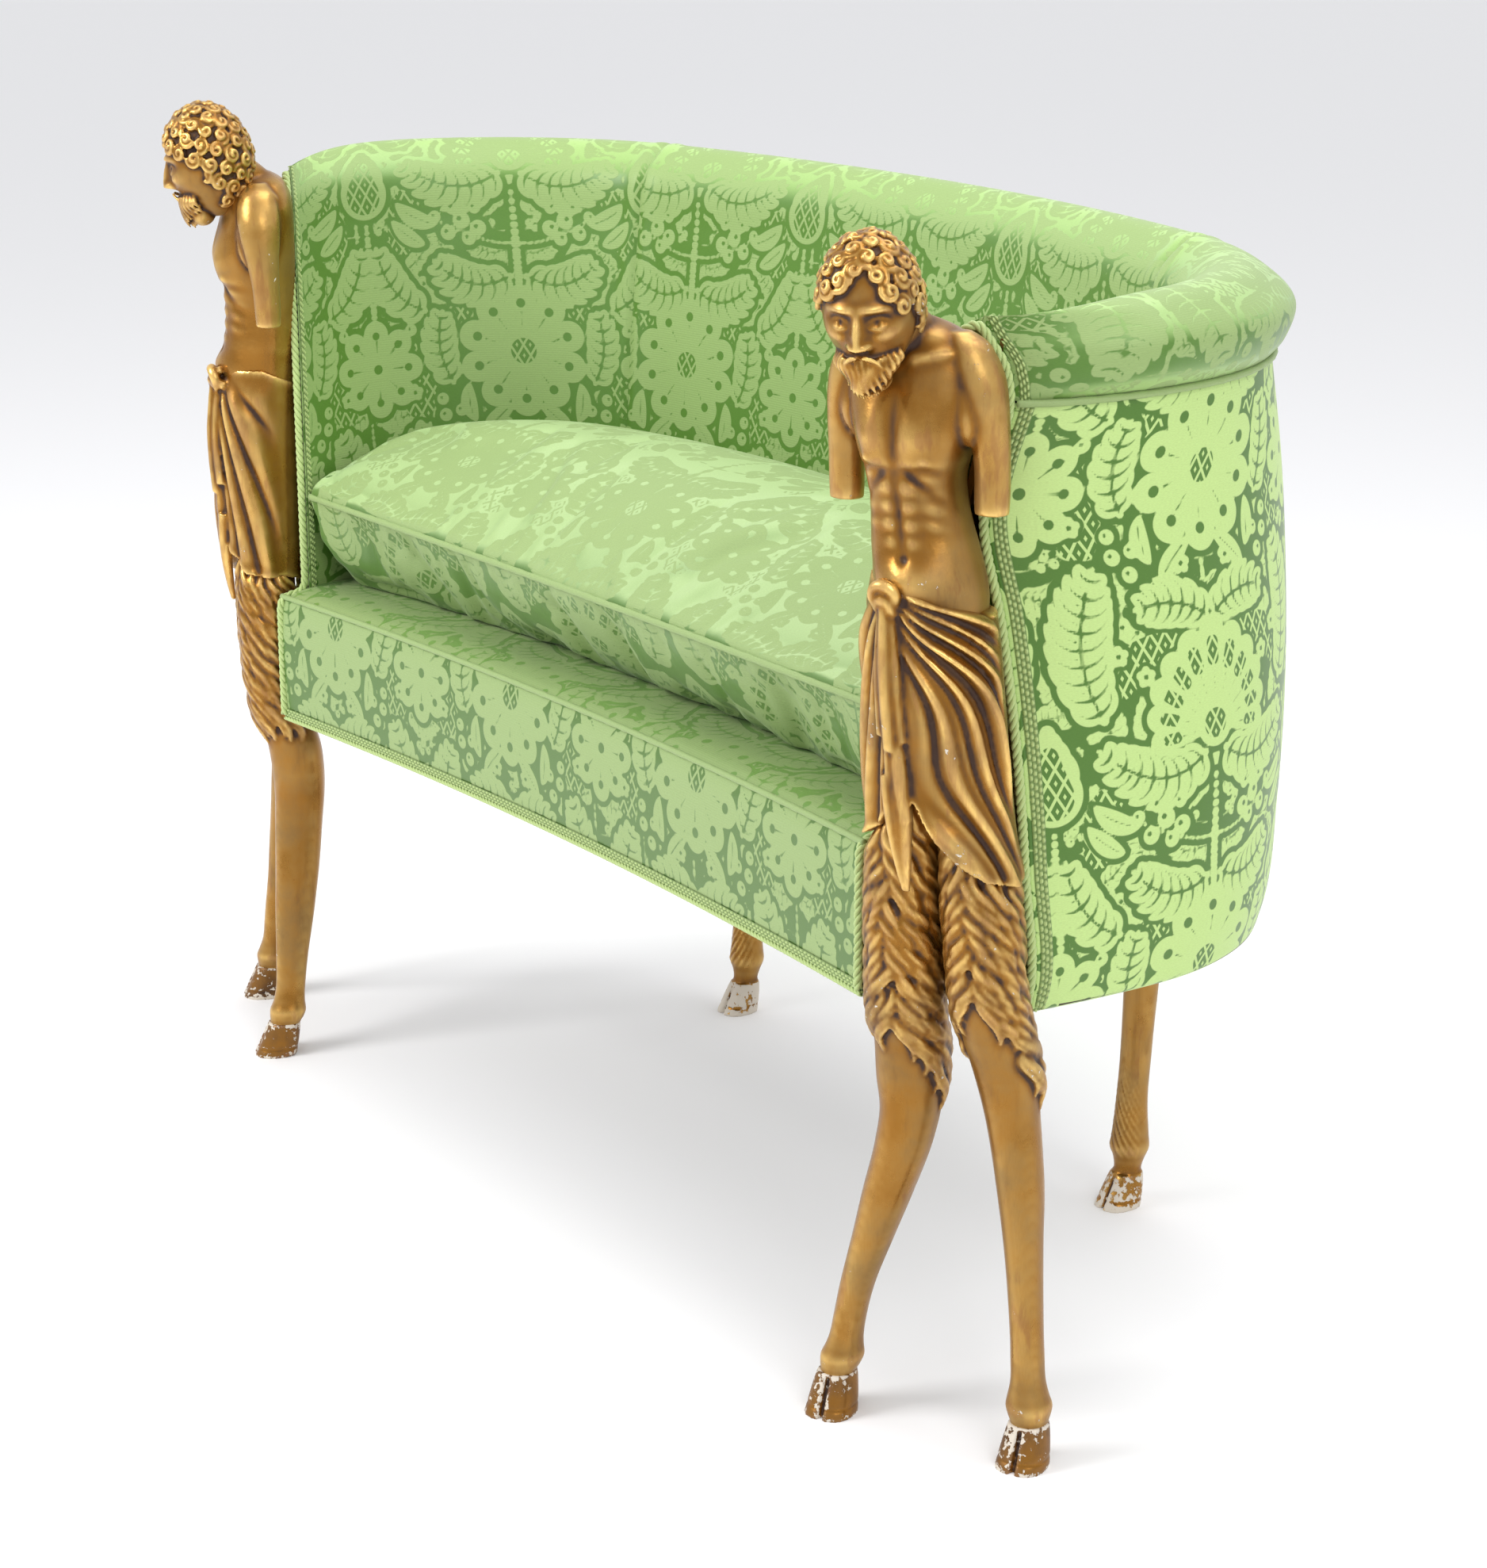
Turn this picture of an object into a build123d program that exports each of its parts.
"""Tub-backed two-seat settee on carved goat-legged figures, with one loose seat cushion.

Millimetres, +Z up, front towards -Y, mirror plane X = 0, origin on the floor.
"""
from build123d import *
import math
import os

os.makedirs("parts", exist_ok=True)

# Tub: the ridge is the top line of the padded arm and back
ARM_HALF_WIDTH = 578.0
BACK_REACH = 235.0
BACK_BOW = 109.5
CREST_Z = 889.0
WELT_Z = 818.0
ROLL_OVERHANG = 40.0
COVER = 1.5
COVER_EASE = 0.15
SEAM_INSET = 193.0

# Seat frame
RAIL_BOTTOM_Z = 349.0
RAIL_HEIGHT = 111.0
RAIL_THICK = 28.0
RAIL_EASE = 0.6
RAIL_JOINT_INSET = 243.0
FRONT_REACH = 190.0
FRONT_BOW = 24.0
TOP_RAIL_WIDTH = 34.0
TOP_RAIL_HEIGHT = 34.0
TOP_RAIL_Z = 828.0
POST_DEPTH = 22.0
STILE_WIDTH = 36.0
STILE_DEPTH = 26.0
BLOCK_HEIGHT = 80.0
BLOCK_RUN = 46.0
BLOCK_INSET = 82.0
WEBBING = 1.5
WEBBING_WIDTH = 50.0
HESSIAN = 1.0
SEAT_STUFFING = 10.5
DUST_COVER = 1.5

# Trims
WELT_RADIUS = 2.7
ROPE_RADIUS = 3.3
BRAID_WIDTH = 9.0
BRAID_THICK = 2.0
TRIM_GAP = 0.3

# Loose cushion
CUSHION_SEAM_Z = 545.0
CUSHION_CROWN = 60.0
CUSHION_SIDE_GAP = 14.0
CUSHION_FRONT_SET = 12.0
CUSHION_CORNER_SET = 38.0
CUSHION_REST_GAP = 0.3
PIPING = 5.0

# Carved figures: local x runs outwards along the shoulders, local -y is forward
FIGURE_INSET = 78.0
FIGURE_SET = 22.0
FIGURE_TURN = 25.0
HEM_Z = 468.0
WAIST_Z = 700.0
SHOULDER_Z = 874.0
STUMP_Z = 738.0
HEAD_Z = 897.2
HEAD_FORWARD = 68.4
HEAD_SIDE = -10.0
HEAD_TILT = 22.0
KNOT_Z = 680.0
FOLDS = 6
FOLD_RADIUS = 6.0
HOOF_HEIGHT = 30.0
CLEFT = 2.5
DOWEL_RADIUS = 6.0
DOWEL_LENGTH = 44.0

RAIL_END_SIDE = 42.0

# Rear legs
REAR_LEG_INSET = 277.0
REAR_LEG_SET = 17.9
REAR_LEG_RADIUS = 21.0
REAR_TENON_RADIUS = 9.0
REAR_TENON_LENGTH = 60.0

BACK_RADIUS = (ARM_HALF_WIDTH**2 + BACK_BOW**2) / (2 * BACK_BOW)
FIGURE_X = ARM_HALF_WIDTH - FIGURE_INSET
FIGURE_Y = FIGURE_SET - FRONT_REACH
SEAM_X = ARM_HALF_WIDTH - SEAM_INSET
RAIL_JOINT_X = ARM_HALF_WIDTH - RAIL_JOINT_INSET
REAR_LEG_X = ARM_HALF_WIDTH - REAR_LEG_INSET
REAR_LEG_Y = BACK_REACH - BACK_RADIUS + math.sqrt(BACK_RADIUS**2 - REAR_LEG_X**2) + REAR_LEG_SET
CUSHION_FRONT = FRONT_REACH - CUSHION_FRONT_SET
RAIL_TOP_Z = RAIL_BOTTOM_Z + RAIL_HEIGHT
SEAT_BASE_Z = RAIL_TOP_Z + 2 * WEBBING + HESSIAN
DECK_Z = SEAT_BASE_Z + SEAT_STUFFING + COVER
RUN_OFF = 4.0
CORE_SET = COVER + COVER_EASE
RAIL_SET = COVER + RAIL_EASE
TURN = math.radians(FIGURE_TURN)
OUTWARD = Vector(math.cos(TURN), math.sin(TURN))
FORWARD = Vector(math.sin(TURN), -math.cos(TURN))
FIGURE = Plane((FIGURE_X, FIGURE_Y, 0), x_dir=(OUTWARD.X, OUTWARD.Y, 0), z_dir=(0, 0, 1))
FLANK = Plane((FIGURE_X, FIGURE_Y, 0), x_dir=(OUTWARD.X, OUTWARD.Y, 0), z_dir=(FORWARD.X, FORWARD.Y, 0))

# Horizontal levels of the tub: height, offset from the ridge at the arm, offset from the ridge
# at the back, how far behind the figure the arm turns into the corner, and where the edge meets the
# figure, measured along its shoulders
OUTSIDE = [
    (RAIL_BOTTOM_Z, 10, 37, 165.5, 90),
    (RAIL_TOP_Z, 20, 45, 170.7, 84),
    (552, 22, 46, 171.1, 75),
    (WAIST_Z - 47, 20, 43, 164.9, 59),
    (WAIST_Z + 29, 18, 38, 154.4, 43),
    (WELT_Z, 16, 27, 134.8, 64),
]
ROLL = [
    (WELT_Z, 16, 27, 134.8, 64),
    (WELT_Z + 16, ROLL_OVERHANG - 6, ROLL_OVERHANG - 5, 126.4, 76),
    (CREST_Z - 33, ROLL_OVERHANG, ROLL_OVERHANG + 1, 126.9, 80),
    (CREST_Z - 11, ROLL_OVERHANG - 16, ROLL_OVERHANG - 16, 114.2, 68),
    (CREST_Z, 6, 6, 100.8, 50),
]
INSIDE = [
    (SEAT_BASE_Z, -98, -70, 83.8, -42),
    (605, -83, -63, 87.8, -38),
    (WAIST_Z + 35, -63, -53, 88.0, -22),
    (CREST_Z - 29, -38, -38, 91.0, -2),
]
LIP = [
    (CREST_Z - 29, -38, -38, 91.0, -2),
    (CREST_Z - 11, -22, -22, 91.4, 18),
    (CREST_Z, -6, -6, 93.3, 36),
]


def on_figure(side, ahead=0.0):
    """Plan point at a distance along the right figure's shoulders and ahead of its back."""
    return Vector(FIGURE_X, FIGURE_Y) + OUTWARD * side + FORWARD * ahead


def swing(hub, radius, angle):
    """Plan point on a circle."""
    return Vector(hub.X + radius * math.cos(angle), hub.Y + radius * math.sin(angle))


def flip(point):
    """Mirror a plan point in the middle plane."""
    return Vector(-point.X, point.Y)


def tub_arcs(level, shrink=0.0, setback=0.0):
    """Three-point arcs of the right half of a level: arm, corner, half the back, all tangent."""
    _, arm, back, turn, side = level
    width = ARM_HALF_WIDTH + arm
    back_hub = Vector(0, BACK_REACH + back - BACK_RADIUS)
    rise = FIGURE_Y + turn - back_hub.Y
    corner = (BACK_RADIUS**2 - width**2 - rise**2) / (2 * (BACK_RADIUS - width))
    corner_hub = Vector(width - corner, FIGURE_Y + turn)
    front = on_figure(side)
    inset = width - front.X
    run = corner_hub.Y - front.Y
    arm_radius = (inset**2 + run**2) / (2 * inset)
    arm_hub = Vector(width - arm_radius, corner_hub.Y)
    edge = on_figure(0, -setback) - arm_hub
    along = edge.dot(OUTWARD)
    reach = -along + math.sqrt(along**2 - edge.dot(edge) + (arm_radius - shrink) ** 2)
    start = on_figure(reach, -setback)
    start_angle = math.atan2(start.Y - arm_hub.Y, start.X - arm_hub.X)
    end_angle = math.atan2(corner_hub.Y - back_hub.Y, corner_hub.X - back_hub.X)
    arm_end = swing(corner_hub, corner - shrink, 0)
    corner_end = swing(corner_hub, corner - shrink, end_angle)
    middle = Vector(0, BACK_REACH + back - shrink)
    ahead = Vector(math.sin(start_angle), -math.cos(start_angle))
    arcs = [
        (start, swing(arm_hub, arm_radius - shrink, start_angle / 2), arm_end),
        (arm_end, swing(corner_hub, corner - shrink, end_angle / 2), corner_end),
        (corner_end, middle, flip(corner_end)),
    ]
    return arcs, ahead


def draw_tub(arcs):
    """Draw the whole row of arcs from the right figure round the back to the left one."""
    left = [[flip(point) for point in reversed(arc)] for arc in reversed(arcs[:2])]
    for arc in arcs + left:
        ThreePointArc(*[(point.X, point.Y) for point in arc])


def tub_face(level, shrink=0.0, setback=0.0, inside=False, drop=0.0):
    """Closed plan outline of one level, run on past the figures when it is the space inside."""
    arcs, ahead = tub_arcs(level, shrink, setback + RUN_OFF if inside else setback)
    start = arcs[0][0]
    lead = start + ahead * (4 * RUN_OFF) if inside else on_figure(-15 * RUN_OFF, -setback)
    turn = lead + FORWARD * (20 * RUN_OFF) if inside else lead + FORWARD * RUN_OFF
    with BuildSketch(Plane.XY.offset(level[0] - drop)) as outline:
        with BuildLine():
            draw_tub(arcs)
            Polyline(flip(start), flip(lead), flip(turn), turn, lead, start)
        make_face()
    return outline.sketch.face()


def tub_faces(levels, shrink=0.0, setback=0.0, inside=False, drop=0.0):
    """Outlines of a stack of levels, with the levels above the welt lowered by the drop."""
    return [
        tub_face(level, shrink, setback, inside, drop if level[0] > WELT_Z else 0.0) for level in levels
    ]


def front_y(x, inset=0.0):
    """Y of the hollow front line of the seat at a distance from the middle."""
    return -FRONT_REACH + inset - FRONT_BOW * (x / FIGURE_X) ** 2


def front_face(z, near, far, half_width):
    """Plan face between two copies of the front line, one set back further than the other."""
    near_y = front_y(half_width, near)
    far_y = front_y(half_width, far)
    with BuildSketch(Plane.XY.offset(z)) as strip:
        with BuildLine():
            ThreePointArc((-half_width, near_y), (0, front_y(0, near)), (half_width, near_y))
            Line((half_width, near_y), (half_width, far_y))
            ThreePointArc((half_width, far_y), (0, front_y(0, far)), (-half_width, far_y))
            Line((-half_width, far_y), (-half_width, near_y))
        make_face()
    return strip.sketch.face()


def oval(plane, z, side, ahead, half_width, half_depth):
    """Elliptical section across a carved limb, in four quarters that start at its outer end."""
    with BuildSketch(plane.offset(z)) as section:
        with BuildLine():
            for start in range(0, 360, 90):
                EllipticalCenterArc((side, -ahead), half_width, half_depth, start, arc_size=90)
        make_face()
    return section.sketch.face()


def export(builder, name):
    """Label one finished piece and write it."""
    builder.part.label = name
    export_step(builder.part, f"parts/{name}.step")


def export_pair(builder, name):
    """Write the right-hand piece and its mirror image on the left."""
    export(builder, "right_" + name)
    with BuildPart() as twin:
        mirror(builder.part, about=Plane.YZ)
    export(twin, "left_" + name)


def seam_plane(x):
    """Upright plane square across the tub wall, at a place on the right of the back."""
    lean = math.asin(x / BACK_RADIUS)
    back_y = BACK_REACH - BACK_RADIUS * (1 - math.cos(lean))
    return Plane((x, back_y, 0), z_dir=(math.cos(lean), -math.sin(lean), 0))


def left_of(plane):
    """Mirror image of an upright plane, facing outwards on the left."""
    return Plane((-plane.origin.X, plane.origin.Y, 0), z_dir=(-plane.z_dir.X, plane.z_dir.Y, 0))


SEAM = seam_plane(SEAM_X)
LEFT_SEAM = left_of(SEAM)
RAIL_JOINT = seam_plane(RAIL_JOINT_X)
LEFT_RAIL_JOINT = left_of(RAIL_JOINT)
RAIL_END = Plane(FIGURE.from_local_coords((-RAIL_END_SIDE, 0, 0)), z_dir=FIGURE.x_dir)
LEFT_RAIL_END = left_of(RAIL_END)

# Whole tub wall, its core under the covers, and the outside skin
with BuildPart() as wall:
    loft(sections=tub_faces(OUTSIDE))
    loft(sections=tub_faces(ROLL))
    loft(sections=tub_faces(INSIDE, inside=True), mode=Mode.SUBTRACT)
    loft(sections=tub_faces(LIP, inside=True), mode=Mode.SUBTRACT)
    split(bisect_by=Plane.XY.offset(SEAT_BASE_Z), keep=Keep.TOP)

with BuildPart() as core:
    loft(sections=tub_faces(OUTSIDE, CORE_SET))
    loft(sections=tub_faces(ROLL, CORE_SET, drop=CORE_SET))
    loft(sections=tub_faces(INSIDE, -CORE_SET, inside=True, drop=CORE_SET), mode=Mode.SUBTRACT)
    loft(sections=tub_faces(LIP, -CORE_SET, inside=True, drop=CORE_SET), mode=Mode.SUBTRACT)
    split(bisect_by=Plane.XY.offset(SEAT_BASE_Z), keep=Keep.TOP)

with BuildPart() as under_lining:
    loft(sections=tub_faces(OUTSIDE, COVER))
    loft(sections=tub_faces(ROLL, COVER, drop=COVER))
    loft(sections=tub_faces(INSIDE, -COVER, inside=True, drop=COVER), mode=Mode.SUBTRACT)
    loft(sections=tub_faces(LIP, -COVER, inside=True, drop=COVER), mode=Mode.SUBTRACT)

with BuildPart() as outside_skin:
    loft(sections=tub_faces(OUTSIDE))
    loft(sections=tub_faces(OUTSIDE, COVER), mode=Mode.SUBTRACT)

with BuildPart() as lining:
    add(wall.part)
    add(under_lining.part, mode=Mode.SUBTRACT)
    add(outside_skin.part, mode=Mode.SUBTRACT)

# Front posts behind the figures, sawn to the figure's outline
POST_MARGIN = 4.0


def edge_side(level, shrink, setback):
    """Distance along the shoulders at which a level's outline crosses the figure's back."""
    return (tub_arcs(level, shrink, setback)[0][0][0] - on_figure(0)).dot(OUTWARD)


POST_FOOT = [(-58, RAIL_TOP_Z), (-58, RAIL_BOTTOM_Z)]
POST_OUTER = [(edge_side(level, CORE_SET + POST_MARGIN, 0), level[0]) for level in OUTSIDE]
POST_INNER = [(edge_side(level, -CORE_SET - POST_MARGIN, POST_DEPTH), level[0]) for level in reversed(INSIDE)]
POST_OUTLINE = POST_FOOT + POST_OUTER + [(POST_OUTER[-1][0], POST_INNER[0][1])] + POST_INNER
with BuildPart() as front_post:
    with BuildSketch(FLANK):
        with BuildLine():
            Polyline(*POST_OUTLINE, close=True)
        make_face()
    extrude(amount=-POST_DEPTH)

# Carved figures, built on the right and mirrored
TORSO = [
    (WAIST_Z, 15, 34, 43, 35.5),
    (WAIST_Z + 25, 6, 33, 41, 34.5),
    (WAIST_Z + 60, 1, 34, 42.5, 35.5),
    (SHOULDER_Z - 72, 0, 35, 51, 37),
    (SHOULDER_Z - 38, 0, 35, 54, 37),
    (SHOULDER_Z - 15, -1, 34, 46, 33),
    (SHOULDER_Z, -3, 42, 30, 22),
]
STUMP = [
    (STUMP_Z, 0, 30, 13, 11),
    (STUMP_Z + 50, 0, 31, 14.5, 13),
    (SHOULDER_Z - 42, -1, 34, 16.5, 18),
    (SHOULDER_Z - 22, -5, 35, 15, 17),
    (SHOULDER_Z - 12, -9, 36, 8, 9),
]
STUMP_SIDE = 58.5
DRAPERY = [
    (HEM_Z, 40, 36, 66, 35),
    (HEM_Z + 42, 36, 37, 66, 37),
    (HEM_Z + 92, 32, 38, 65, 39.5),
    (KNOT_Z - 60, 29, 40, 61, 41.5),
    (KNOT_Z - 15, 23, 40, 53, 41.5),
    (KNOT_Z + 8, 18, 37, 48, 38.5),
    (WAIST_Z, 15, 34, 45, 35.5),
]
TAIL = [
    (KNOT_Z, -14, 76, 9, 7),
    (KNOT_Z - 60, -8, 80, 14, 6),
    (KNOT_Z - 130, 0, 79, 18, 6),
    (KNOT_Z - 190, 7, 75, 15, 6),
    (KNOT_Z - 228, 11, 71, 7, 4),
]
INNER_LEG = [
    (HEM_Z, 2, 38, 32, 32),
    (430, 2.5, 39, 34, 32),
    (392, 3, 39, 35, 31),
    (360, 4, 38, 34, 30),
    (335, 6, 28, 32, 30),
    (310, 9, 16, 30, 28),
    (283, 12, 13, 27, 24),
    (235, -1, 18, 24, 22.5),
    (195, -11, 21, 22, 21),
    (128, -29, 28, 18.5, 18.5),
    (66, -45, 34, 14, 16),
    (50, -48, 36, 16, 17.5),
    (HOOF_HEIGHT, -53, 40, 15, 16),
]
OUTER_LEG = [
    (HEM_Z, 73, 38, 33.5, 32),
    (430, 75, 39, 35, 31),
    (392, 78, 39, 36, 30),
    (360, 80, 38, 35, 30),
    (335, 84, 28, 33, 30),
    (310, 89, 17, 30, 28),
    (283, 94, 15, 26, 24),
    (225, 102, 21, 19, 20),
    (160, 108, 29, 15.5, 17),
    (96, 113, 37, 15, 16),
    (62, 115.5, 42, 15.5, 16.5),
    (50, 116, 43, 17, 18),
    (HOOF_HEIGHT, 117, 45, 15.5, 16),
]
HEAD = [
    (-58, 34, 12, 9),
    (-45, 24, 22, 20),
    (-25, 9, 30, 34),
    (0, 2, 35, 41),
    (20, 0, 38, 43),
    (37, -2, 32, 37),
    (47, -3, 19, 21),
    (51, -3, 7, 8),
]
TILT = math.radians(HEAD_TILT)
HEAD_UP = FIGURE.z_dir * math.cos(TILT) - FIGURE.y_dir * math.sin(TILT)
HEAD_CENTRE = FIGURE.from_local_coords((HEAD_SIDE, -HEAD_FORWARD, HEAD_Z))
HEAD_PLANE = Plane(HEAD_CENTRE, x_dir=FIGURE.x_dir, z_dir=HEAD_UP)
NECK_RADIUS = 20.0
NECK_FOOT = FIGURE.from_local_coords((-2, -34, SHOULDER_Z - 14))
NECK_PLANE = Plane(NECK_FOOT, x_dir=FIGURE.x_dir, z_dir=HEAD_CENTRE - NECK_FOOT)

with BuildPart() as torso:
    loft(sections=[oval(FIGURE, *row) for row in TORSO])
    for side in (-1, 1):
        loft(sections=[oval(FIGURE, z, side * (STUMP_SIDE + out), *row) for z, out, *row in STUMP])
    split(bisect_by=FLANK, keep=Keep.TOP)

with BuildPart() as head:
    loft(sections=[oval(HEAD_PLANE, h, 0, ahead, a, b) for h, ahead, a, b in HEAD])
    with BuildSketch(NECK_PLANE):
        Circle(NECK_RADIUS)
    extrude(amount=(HEAD_CENTRE - NECK_FOOT).length)
    loft(sections=[oval(HEAD_PLANE, 8, 0, 42, 4, 4), oval(HEAD_PLANE, -9, 0, 45, 7, 8)])
    for side in (-1, 1):
        with Locations(HEAD_PLANE.from_local_coords((side * 35, 6, -2))):
            Sphere(8)
    add(torso.part, mode=Mode.SUBTRACT)


def fold_point(share, z):
    """Point on the skirt from the knot, at 0, round the front to the outer hip, at 1."""
    angle = math.radians(118 - 112 * share)
    return FIGURE.from_local_coords((29 + 62 * math.cos(angle), -40 - 39 * math.sin(angle), z))


with BuildPart() as drapery:
    loft(sections=[oval(FIGURE, *row) for row in DRAPERY])
    loft(sections=[oval(FIGURE, *row) for row in TAIL])
    with Locations(FIGURE.from_local_coords((-14, -76, KNOT_Z))):
        Sphere(12)
    for fold in range(FOLDS):
        drop = (KNOT_Z - HEM_Z - 30) * fold / (FOLDS - 1)
        top = KNOT_Z - 14 - 0.35 * drop
        low = KNOT_Z - 12 - drop
        with BuildLine() as ridge:
            ThreePointArc(fold_point(0.1, top), fold_point(0.55, 0.5 * (top + low) - 8), fold_point(1, low))
        with BuildSketch(Plane(ridge.line @ 0, z_dir=ridge.line % 0)) as bead:
            Circle(FOLD_RADIUS)
        sweep(sections=bead.sketch, path=ridge.line)
    split(bisect_by=FLANK, keep=Keep.TOP)
    split(bisect_by=Plane.XY.offset(WAIST_Z), keep=Keep.BOTTOM)


def hoof_solid(leg):
    """Sections of a hoof that takes over from the foot of a leg."""
    _, side, ahead, a, b = leg[-1]
    return [
        oval(FIGURE, HOOF_HEIGHT, side, ahead, a, b),
        oval(FIGURE, 0.55 * HOOF_HEIGHT, side, ahead + 4, a + 4, b + 5),
        oval(FIGURE, 0, side, ahead + 7, a + 7, b + 9),
    ]


with BuildPart() as inner_leg:
    loft(sections=[oval(FIGURE, *row) for row in INNER_LEG])
    add(drapery.part, mode=Mode.SUBTRACT)
    add(front_post.part, mode=Mode.SUBTRACT)

with BuildPart() as outer_leg:
    loft(sections=[oval(FIGURE, *row) for row in OUTER_LEG])
    add(drapery.part, mode=Mode.SUBTRACT)
    add(front_post.part, mode=Mode.SUBTRACT)

with BuildPart() as hooves:
    for leg in (INNER_LEG, OUTER_LEG):
        loft(sections=hoof_solid(leg))
        _, side, ahead, a, b = leg[-1]
        with BuildSketch(FIGURE):
            with Locations((side, -ahead - b - 9)):
                Rectangle(CLEFT, 2 * b)
        extrude(amount=HOOF_HEIGHT - 6, mode=Mode.SUBTRACT)

JOINTS = [
    (torso, WAIST_Z, 15, 35),
    (inner_leg, HEM_Z, 2, 38),
    (outer_leg, HEM_Z, 73, 38),
]
with BuildPart() as dowels:
    for _, z, side, ahead in JOINTS:
        with BuildSketch(FIGURE.offset(z - DOWEL_LENGTH / 2)):
            with Locations((side, -ahead)):
                Circle(DOWEL_RADIUS)
        extrude(amount=DOWEL_LENGTH)


def bored(builder):
    """Copy of a carved piece with the holes for the figure's dowels."""
    with BuildPart() as piece:
        add(builder.part)
        add(dowels.part, mode=Mode.SUBTRACT)
    return piece


export_pair(head, "figure_head")
export_pair(bored(torso), "figure_torso")
export_pair(bored(drapery), "figure_drapery")
export_pair(bored(inner_leg), "figure_inner_leg")
export_pair(bored(outer_leg), "figure_outer_leg")
export_pair(hooves, "figure_hooves")
export_pair(dowels, "figure_dowels")

# Rear legs with their hooves
FETLOCK_Z = 70.0
REAR_SHANK = [
    (RAIL_BOTTOM_Z, 0, REAR_LEG_RADIUS, REAR_LEG_RADIUS - 1),
    (240, 0, REAR_LEG_RADIUS - 2, REAR_LEG_RADIUS - 2),
    (150, 0, REAR_LEG_RADIUS - 5, REAR_LEG_RADIUS - 5),
    (FETLOCK_Z, 0, REAR_LEG_RADIUS - 6, REAR_LEG_RADIUS - 6),
]
REAR_FOOT = [
    (FETLOCK_Z, 0, REAR_LEG_RADIUS - 6, REAR_LEG_RADIUS - 6),
    (FETLOCK_Z - 18, 1, REAR_LEG_RADIUS - 3.5, REAR_LEG_RADIUS - 3),
    (FETLOCK_Z - 34, 1, REAR_LEG_RADIUS - 6, REAR_LEG_RADIUS - 5),
    (18, 4, REAR_LEG_RADIUS - 1, REAR_LEG_RADIUS + 1),
    (0, 7, REAR_LEG_RADIUS + 1, REAR_LEG_RADIUS + 4),
]
REAR = Plane((REAR_LEG_X, REAR_LEG_Y, 0))
with BuildPart() as rear_leg:
    loft(sections=[oval(REAR, z, 0, ahead, a, b) for z, ahead, a, b in REAR_SHANK])
    loft(sections=[oval(REAR, z, 0, ahead, a, b) for z, ahead, a, b in REAR_FOOT])
    with BuildSketch(REAR):
        with Locations((0, -2 * REAR_LEG_RADIUS)):
            Rectangle(CLEFT, 2 * REAR_LEG_RADIUS)
    extrude(amount=HOOF_HEIGHT - 6, mode=Mode.SUBTRACT)
    with BuildSketch(REAR.offset(RAIL_BOTTOM_Z)):
        Circle(REAR_TENON_RADIUS)
    extrude(amount=REAR_TENON_LENGTH)
export_pair(rear_leg, "rear_leg")

with BuildPart() as rail_ring:
    loft(sections=tub_faces(OUTSIDE[:3], RAIL_SET, POST_DEPTH))
    loft(sections=tub_faces(OUTSIDE[:3], RAIL_SET + RAIL_THICK, POST_DEPTH - RUN_OFF), mode=Mode.SUBTRACT)
    split(bisect_by=Plane.XY.offset(RAIL_TOP_Z), keep=Keep.BOTTOM)

with BuildPart() as side_rail:
    add(rail_ring.part)
    split(bisect_by=RAIL_JOINT, keep=Keep.TOP)

with BuildPart() as back_rail:
    add(rail_ring.part)
    split(bisect_by=RAIL_JOINT, keep=Keep.BOTTOM)
    split(bisect_by=LEFT_RAIL_JOINT, keep=Keep.BOTTOM)
    add(rear_leg.part, mode=Mode.SUBTRACT)
    mirror(rear_leg.part, about=Plane.YZ, mode=Mode.SUBTRACT)


TOP_RAIL = (TOP_RAIL_Z, 12, 12, 95.9, 62)
INNER = 12 - TOP_RAIL_WIDTH
TOP_RAIL_BACK = (TOP_RAIL_Z, INNER, INNER, 96.9, 62 - 1.3 * TOP_RAIL_WIDTH)
with BuildPart() as top_ring:
    extrude(tub_face(TOP_RAIL, 0, POST_DEPTH), amount=TOP_RAIL_HEIGHT)
    extrude(tub_face(TOP_RAIL_BACK, 0, POST_DEPTH - RUN_OFF), amount=TOP_RAIL_HEIGHT, mode=Mode.SUBTRACT)

with BuildPart() as arm_rail:
    add(top_ring.part)
    split(bisect_by=SEAM, keep=Keep.TOP)

with BuildPart() as crest_rail:
    add(top_ring.part)
    split(bisect_by=SEAM, keep=Keep.BOTTOM)
    split(bisect_by=LEFT_SEAM, keep=Keep.BOTTOM)

with BuildPart() as stile:
    with BuildSketch(Plane.XY.offset(RAIL_TOP_Z)):
        with Locations((REAR_LEG_X, REAR_LEG_Y)):
            Rectangle(STILE_WIDTH, STILE_DEPTH)
    with BuildSketch(Plane.XY.offset(TOP_RAIL_Z)):
        with Locations((REAR_LEG_X, REAR_LEG_Y - 25)):
            Rectangle(STILE_WIDTH, STILE_DEPTH)
    loft()

with BuildPart() as front_rail:
    extrude(front_face(RAIL_BOTTOM_Z, COVER, COVER + RAIL_THICK, FIGURE_X), amount=RAIL_HEIGHT)
    split(bisect_by=RAIL_END, keep=Keep.BOTTOM)
    split(bisect_by=LEFT_RAIL_END, keep=Keep.BOTTOM)
    add(front_post.part, mode=Mode.SUBTRACT)
    mirror(front_post.part, about=Plane.YZ, mode=Mode.SUBTRACT)

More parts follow.
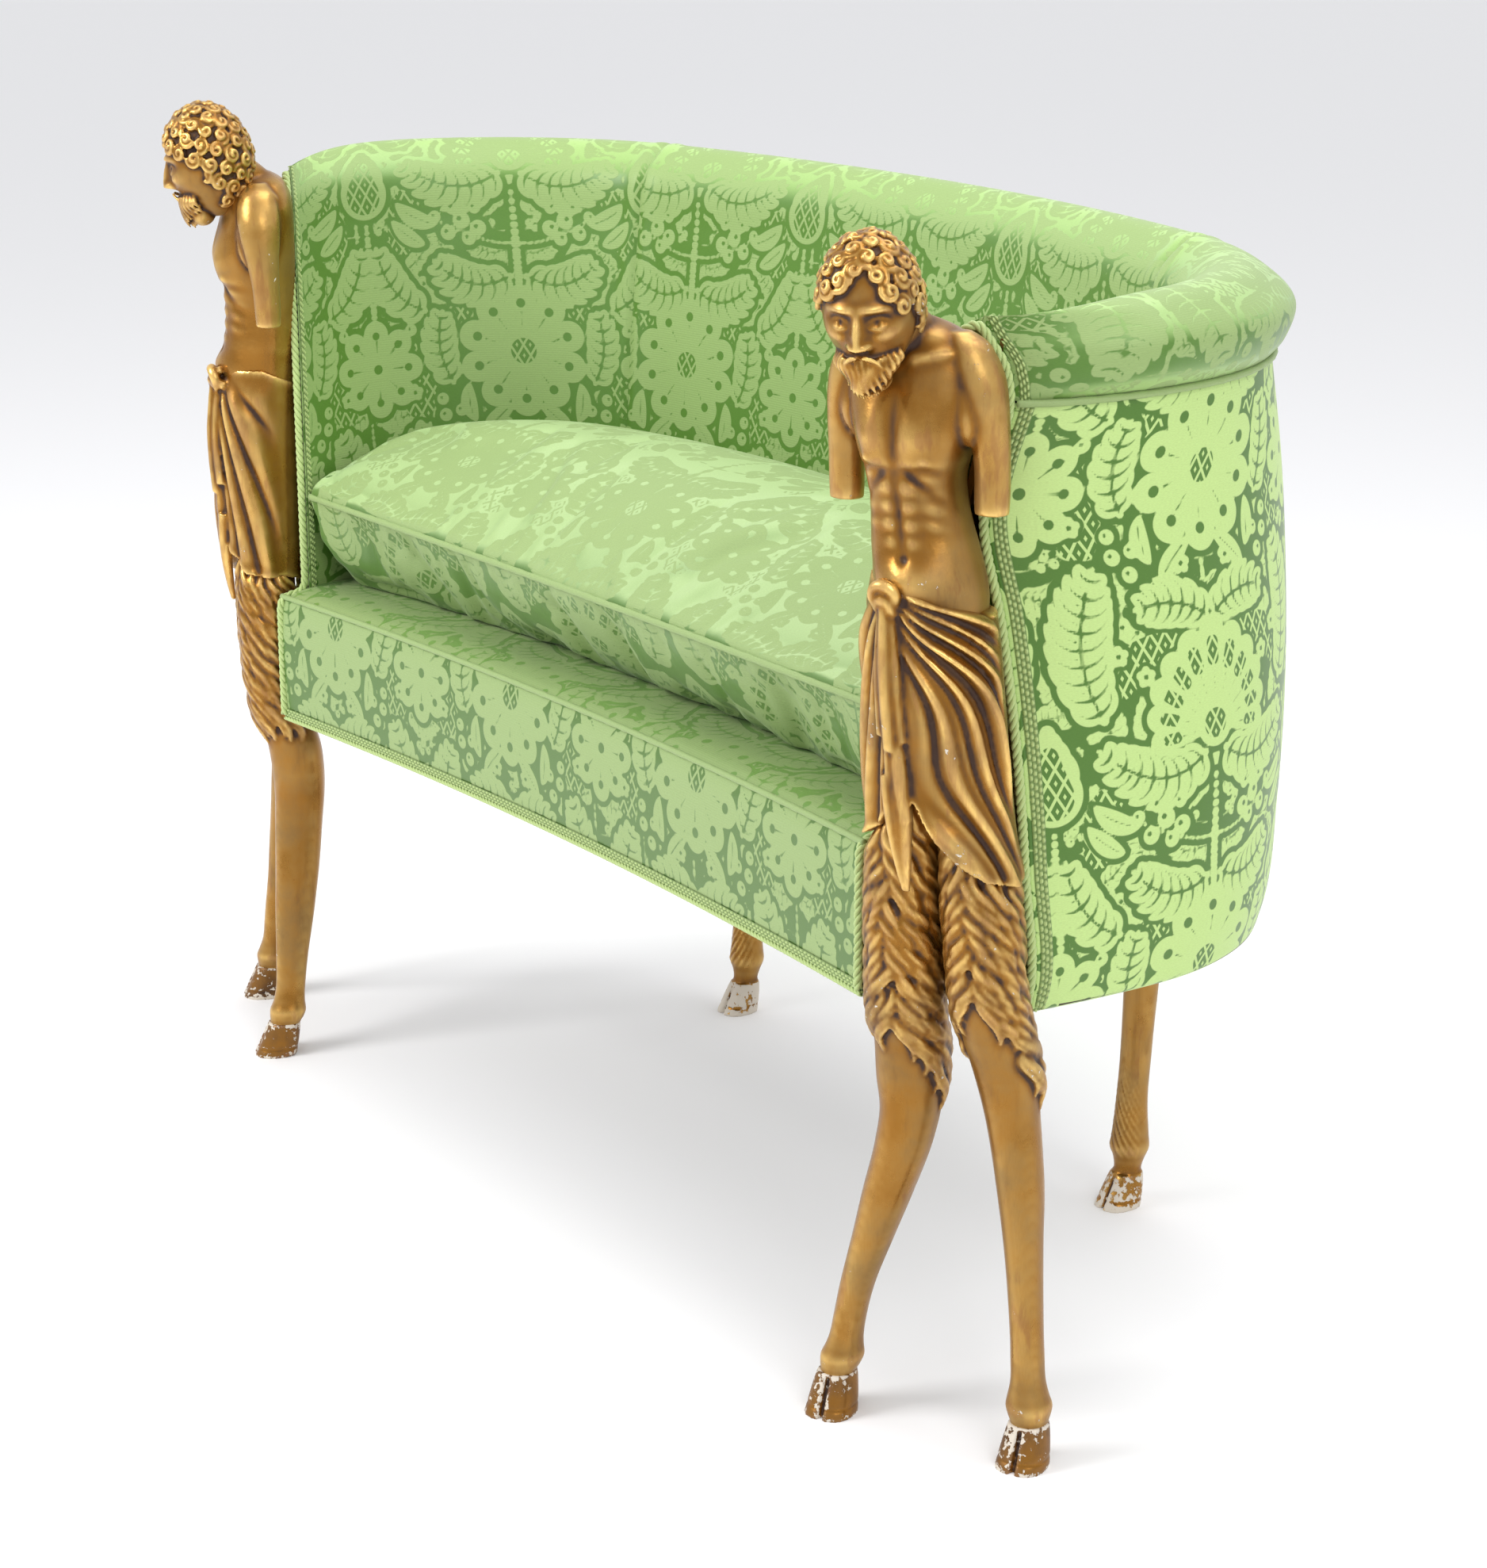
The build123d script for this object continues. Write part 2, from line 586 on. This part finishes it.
BLOCK_Z = RAIL_TOP_Z - BLOCK_HEIGHT
with BuildPart() as corner_blocks:
    for x, y, turn in ((FIGURE_X - BLOCK_INSET, FIGURE_Y, FIGURE_TURN), (REAR_LEG_X, REAR_LEG_Y - 24, -11)):
        with BuildSketch(Plane.XY.offset(BLOCK_Z)):
            with Locations((x, y)):
                Rectangle(BLOCK_RUN, BLOCK_RUN, rotation=turn)
        extrude(amount=BLOCK_HEIGHT)
    for piece in (front_rail, front_post, rail_ring, rear_leg):
        add(piece.part, mode=Mode.SUBTRACT)
    mirror(about=Plane.YZ)

# Seat platform
SEAT_PLAN = (RAIL_TOP_Z, 20, 45, 170.7, 84)
SEAT_EDGE = 14.0
with BuildPart() as platform:
    extrude(tub_face(SEAT_PLAN, SEAT_EDGE, POST_DEPTH), amount=SEAT_BASE_Z - RAIL_TOP_Z)
    extrude(front_face(RAIL_TOP_Z, SEAT_EDGE, FRONT_REACH, FIGURE_X - 80), amount=SEAT_BASE_Z - RAIL_TOP_Z)

with BuildPart() as lengthwise_webbing:
    with BuildSketch(Plane.XY.offset(RAIL_TOP_Z)):
        with GridLocations(0, 2 * WEBBING_WIDTH, 1, 4):
            Rectangle(2 * ARM_HALF_WIDTH, WEBBING_WIDTH)
    extrude(amount=WEBBING)
    add(platform.part, mode=Mode.INTERSECT)

with BuildPart() as crosswise_webbing:
    with BuildSketch(Plane.XY.offset(RAIL_TOP_Z + WEBBING)):
        with GridLocations(2 * WEBBING_WIDTH, 0, 9, 1):
            Rectangle(WEBBING_WIDTH, 2 * ARM_HALF_WIDTH)
    extrude(amount=WEBBING)
    add(platform.part, mode=Mode.INTERSECT)
    add(stile.part, mode=Mode.SUBTRACT)
    mirror(stile.part, about=Plane.YZ, mode=Mode.SUBTRACT)

with BuildPart() as hessian:
    add(platform.part)
    split(bisect_by=Plane.XY.offset(SEAT_BASE_Z - HESSIAN), keep=Keep.TOP)
    add(stile.part, mode=Mode.SUBTRACT)
    mirror(stile.part, about=Plane.YZ, mode=Mode.SUBTRACT)


def deck(z, height):
    """Slab of the seat deck between the inside covers, up to the welt along the front."""
    with BuildPart() as slab:
        extrude(tub_face((z, *INSIDE[0][1:]), TRIM_GAP, inside=True), amount=height)
        inside = front_face(z, 2 * WELT_RADIUS, 2 * FRONT_REACH + BACK_REACH, ARM_HALF_WIDTH)
        extrude(inside, amount=height, mode=Mode.INTERSECT)
        split(bisect_by=RAIL_END, keep=Keep.BOTTOM)
        split(bisect_by=LEFT_RAIL_END, keep=Keep.BOTTOM)
    return slab


seat_stuffing = deck(SEAT_BASE_Z, SEAT_STUFFING)
deck_cover = deck(DECK_Z - COVER, COVER)
WELT_SEAT_Z = DECK_Z - WELT_RADIUS
with BuildPart() as front_border:
    extrude(front_face(RAIL_BOTTOM_Z, 0, COVER, FIGURE_X), amount=WELT_SEAT_Z - WELT_RADIUS - RAIL_BOTTOM_Z)
    split(bisect_by=RAIL_END, keep=Keep.BOTTOM)
    split(bisect_by=LEFT_RAIL_END, keep=Keep.BOTTOM)

with BuildPart() as front_welt:
    end_x = RAIL_END.origin.X + 9
    end_y = front_y(end_x, WELT_RADIUS)
    with BuildLine(Plane.XY.offset(WELT_SEAT_Z)) as welt_line:
        ThreePointArc((-end_x, end_y), (0, front_y(0, WELT_RADIUS)), (end_x, end_y))
    with BuildSketch(Plane(welt_line.line @ 0, z_dir=welt_line.line % 0)) as welt_section:
        Circle(WELT_RADIUS - TRIM_GAP)
    sweep(sections=welt_section.sketch, path=welt_line.line)

with BuildPart() as front_braid:
    extrude(front_face(RAIL_BOTTOM_Z, -BRAID_THICK, 0, FIGURE_X), amount=BRAID_WIDTH)
    split(bisect_by=RAIL_END, keep=Keep.BOTTOM)
    split(bisect_by=LEFT_RAIL_END, keep=Keep.BOTTOM)

with BuildPart() as dust_cover:
    under = RAIL_BOTTOM_Z - DUST_COVER
    extrude(tub_face((under, *OUTSIDE[0][1:]), SEAT_EDGE / 2, POST_DEPTH), amount=DUST_COVER)
    extrude(front_face(under, SEAT_EDGE / 2, FRONT_REACH, FIGURE_X - 80), amount=DUST_COVER)
    add(rear_leg.part, mode=Mode.SUBTRACT)
    mirror(rear_leg.part, about=Plane.YZ, mode=Mode.SUBTRACT)


# Stuffing and covers of the tub
with BuildPart() as arm_stuffing:
    add(core.part)
    split(bisect_by=SEAM, keep=Keep.TOP)
    add(front_post.part, mode=Mode.SUBTRACT)
    add(top_ring.part, mode=Mode.SUBTRACT)

with BuildPart() as back_stuffing:
    add(core.part)
    split(bisect_by=SEAM, keep=Keep.BOTTOM)
    split(bisect_by=LEFT_SEAM, keep=Keep.BOTTOM)
    add(top_ring.part, mode=Mode.SUBTRACT)
    add(stile.part, mode=Mode.SUBTRACT)
    mirror(stile.part, about=Plane.YZ, mode=Mode.SUBTRACT)

with BuildPart() as inside_arm_cover:
    add(lining.part)
    split(bisect_by=SEAM, keep=Keep.TOP)

with BuildPart() as inside_back_cover:
    add(lining.part)
    split(bisect_by=SEAM, keep=Keep.BOTTOM)
    split(bisect_by=LEFT_SEAM, keep=Keep.BOTTOM)

with BuildPart() as outside_arm_cover:
    add(outside_skin.part)
    split(bisect_by=SEAM, keep=Keep.TOP)

with BuildPart() as outside_back_cover:
    add(outside_skin.part)
    split(bisect_by=SEAM, keep=Keep.BOTTOM)
    split(bisect_by=LEFT_SEAM, keep=Keep.BOTTOM)

# Trims
WELT_DROP = WELT_RADIUS + TRIM_GAP
WELT_EASE = 0.6
with BuildPart() as outside_welt:
    with BuildLine(Plane.XY.offset(WELT_Z - WELT_DROP)) as tub_line:
        draw_tub(tub_arcs(OUTSIDE[-1], -WELT_RADIUS - WELT_EASE)[0])
    for arc in tub_line.edges():
        with BuildSketch(Plane(arc @ 0, z_dir=arc % 0)) as tub_section:
            Circle(WELT_RADIUS)
        sweep(sections=tub_section.sketch, path=arc)

BRAID_SET = 1.0
INNER_BRAID_SET = 2 * ROPE_RADIUS + 2.0
with BuildPart() as outer_braid:
    loft(sections=tub_faces(OUTSIDE, -BRAID_THICK - TRIM_GAP, BRAID_SET))
    loft(sections=tub_faces(OUTSIDE, -TRIM_GAP), mode=Mode.SUBTRACT)
    split(bisect_by=FLANK.offset(-BRAID_SET - BRAID_WIDTH), keep=Keep.TOP)
    split(bisect_by=Plane.YZ, keep=Keep.TOP)
    split(bisect_by=Plane.XY.offset(WELT_Z - 3 * WELT_DROP), keep=Keep.BOTTOM)

with BuildPart() as inner_braid:
    loft(sections=tub_faces(INSIDE, TRIM_GAP, inside=True))
    loft(sections=tub_faces(INSIDE, BRAID_THICK + TRIM_GAP, inside=True), mode=Mode.SUBTRACT)
    split(bisect_by=FLANK.offset(-INNER_BRAID_SET - BRAID_WIDTH), keep=Keep.TOP)
    split(bisect_by=FLANK.offset(-INNER_BRAID_SET), keep=Keep.BOTTOM)
    split(bisect_by=Plane.YZ, keep=Keep.TOP)
    split(bisect_by=Plane.XY.offset(DECK_Z + TRIM_GAP), keep=Keep.TOP)


def rope(points, ahead):
    """Cord along the edge of the figure: straight runs joined by the largest arcs that fit."""
    radii = []
    for before, here, after in zip(points, points[1:], points[2:]):
        first = Vector(*here) - Vector(*before)
        second = Vector(*after) - Vector(*here)
        half_turn = math.radians(first.get_angle(second) / 2)
        radii.append(0.45 * min(first.length, second.length) / math.tan(half_turn))
    with BuildPart() as cord:
        with BuildLine(FLANK.offset(ahead)) as route:
            FilletPolyline(*points, radius=radii)
        with BuildSketch(Plane(route.wire() @ 0, z_dir=route.wire() % 0)) as strand:
            Circle(ROPE_RADIUS)
        sweep(sections=strand.sketch, path=route.wire())
    return cord


ROPE_SET = ROPE_RADIUS + TRIM_GAP
ROPE_FOOT_Z = RAIL_BOTTOM_Z + 9
OUTER_EDGE = [(edge_side(level, 0, 0) + ROPE_SET, max(level[0], ROPE_FOOT_Z)) for level in OUTSIDE]
INNER_EDGE = [(edge_side(level, ROPE_SET + 1, ROPE_SET), max(level[0], DECK_Z + 1)) for level in INSIDE]
outer_rope = rope(OUTER_EDGE + [(OUTER_EDGE[-1][0] + 4, CREST_Z - 32)], ROPE_SET)
inner_rope = rope(INNER_EDGE, -ROPE_SET)

# Loose cushion
CUSHION_ARM = INSIDE[0][1] + 8
CUSHION_BACK = INSIDE[0][2] + 3.5
CUSHION_LEVELS = [
    (DECK_Z + CUSHION_REST_GAP, 72),
    (DECK_Z + 16, 34),
    (CUSHION_SEAM_Z - 30, 11),
    (CUSHION_SEAM_Z, 0),
    (CUSHION_SEAM_Z + 26, 14),
    (CUSHION_SEAM_Z + CUSHION_CROWN - 14, 44),
    (CUSHION_SEAM_Z + CUSHION_CROWN, 100),
]


def cushion_face(z, inset, swell=0.0):
    """Plan outline of the cushion at one height, drawn in from the seam by the inset."""
    turn = INSIDE[0][3] + 1.9 + 0.266 * inset
    plan = (z, CUSHION_ARM - inset, CUSHION_BACK - inset, turn, INSIDE[0][4] - 1.1 * inset)
    arcs, _ = tub_arcs(plan, CUSHION_SIDE_GAP - swell, CUSHION_CORNER_SET + 0.6 * inset - swell)
    ear = arcs[0][0]
    with BuildSketch(Plane.XY.offset(z)) as outline:
        with BuildLine():
            draw_tub(arcs)
            ThreePointArc(flip(ear), (0, -CUSHION_FRONT + 0.75 * inset - swell), ear)
        make_face()
    return outline.sketch.face()


with BuildPart() as seat_cushion:
    loft(sections=[cushion_face(*row) for row in CUSHION_LEVELS[:4]])
    loft(sections=[cushion_face(*row) for row in CUSHION_LEVELS[3:]])

with BuildPart() as cushion_piping:
    extrude(cushion_face(CUSHION_SEAM_Z - PIPING / 2, 0, PIPING), amount=PIPING)
    extrude(cushion_face(CUSHION_SEAM_Z - PIPING / 2, 0, TRIM_GAP), amount=PIPING, mode=Mode.SUBTRACT)

PAIRS = {
    "front_post": front_post,
    "side_rail": side_rail,
    "arm_rail": arm_rail,
    "back_stile": stile,
    "arm_stuffing": arm_stuffing,
    "inside_arm_cover": inside_arm_cover,
    "outside_arm_cover": outside_arm_cover,
    "outer_braid": outer_braid,
    "inner_braid": inner_braid,
    "outer_rope": outer_rope,
    "inner_rope": inner_rope,
}
SINGLES = {
    "front_rail": front_rail,
    "back_rail": back_rail,
    "crest_rail": crest_rail,
    "corner_blocks": corner_blocks,
    "lengthwise_webbing": lengthwise_webbing,
    "crosswise_webbing": crosswise_webbing,
    "seat_hessian": hessian,
    "seat_stuffing": seat_stuffing,
    "deck_cover": deck_cover,
    "front_border_cover": front_border,
    "front_welt": front_welt,
    "front_braid": front_braid,
    "dust_cover": dust_cover,
    "back_stuffing": back_stuffing,
    "inside_back_cover": inside_back_cover,
    "outside_back_cover": outside_back_cover,
    "outside_welt": outside_welt,
    "seat_cushion": seat_cushion,
    "cushion_piping": cushion_piping,
}
for name, builder in PAIRS.items():
    export_pair(builder, name)
for name, builder in SINGLES.items():
    export(builder, name)
